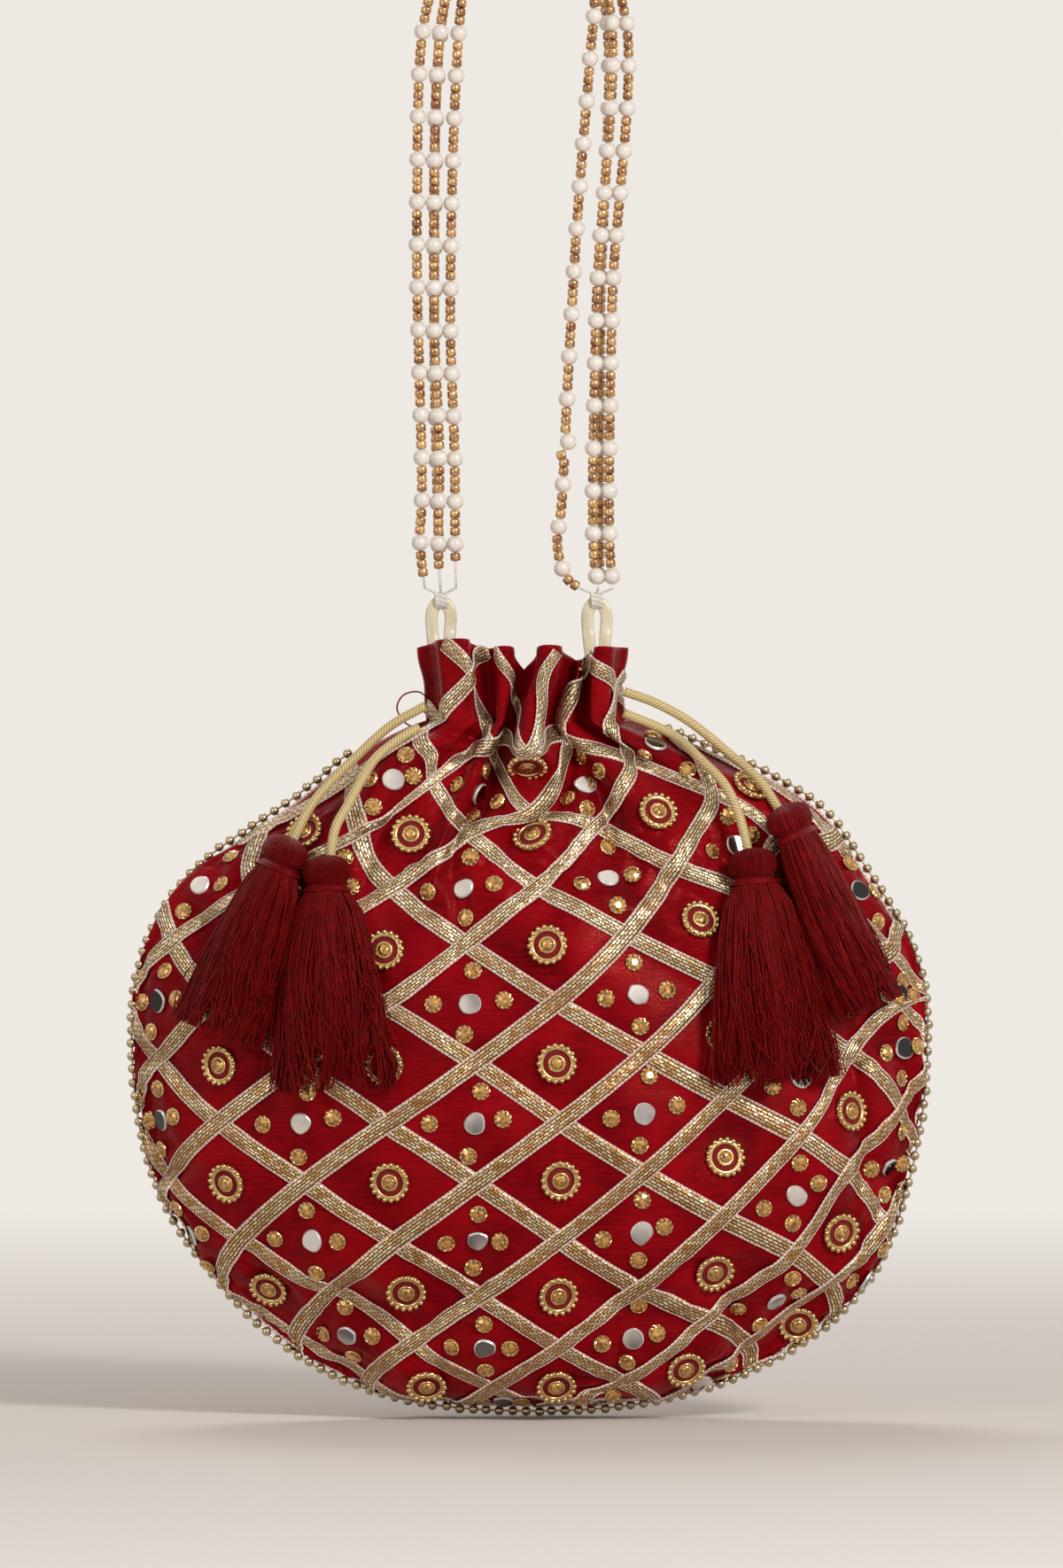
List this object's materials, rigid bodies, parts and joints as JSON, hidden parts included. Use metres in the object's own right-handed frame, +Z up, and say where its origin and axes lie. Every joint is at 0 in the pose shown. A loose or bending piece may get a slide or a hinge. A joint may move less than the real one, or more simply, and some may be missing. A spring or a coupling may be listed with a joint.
{
  "type": "potli bag",
  "caption": "Round gathered drawstring pouch with a ribbon lattice, beaded edging, four thread tassels and a pearl strand handle.",
  "frame": {"origin": "the point where the handle is held, on the underside of the handle's top", "axes": "+Z up, -Y is the front with the tassels, +X to the right seen from the front"},
  "size_m": [0.2273, 0.0779, 0.4221],
  "materials": {
    "crimson_satin": "satin weave",
    "gota_ribbon": "metallic woven ribbon",
    "edging_beads": "metallised champagne gold",
    "cord_satin": "satin cord",
    "tassel_thread": "silky thread",
    "pearl_beads": "pearl and gold seed beads",
    "tie_thread": "white thread"
  },
  "bodies": {
    "root": {"front_panel": "crimson_satin", "back_panel": "crimson_satin", "ribbon_lattice_front": "gota_ribbon", "ribbon_lattice_back": "gota_ribbon", "bead_edging": "edging_beads", "drawstring_left_outer": "cord_satin", "tassel_left_outer": "tassel_thread", "tassel_binding_left_outer": "tassel_thread", "drawstring_left_inner": "cord_satin", "tassel_left_inner": "tassel_thread", "tassel_binding_left_inner": "tassel_thread", "drawstring_right_inner": "cord_satin", "tassel_right_inner": "tassel_thread", "tassel_binding_right_inner": "tassel_thread", "drawstring_right_outer": "cord_satin", "tassel_right_outer": "tassel_thread", "tassel_binding_right_outer": "tassel_thread", "loop_left": "cord_satin", "handle_tie_left": "tie_thread", "loop_right": "cord_satin", "handle_tie_right": "tie_thread", "handle_strand_1": "pearl_beads", "handle_strand_2": "pearl_beads", "handle_strand_3": "pearl_beads", "handle_strand_4": "pearl_beads"}
  },
  "joints": []
}
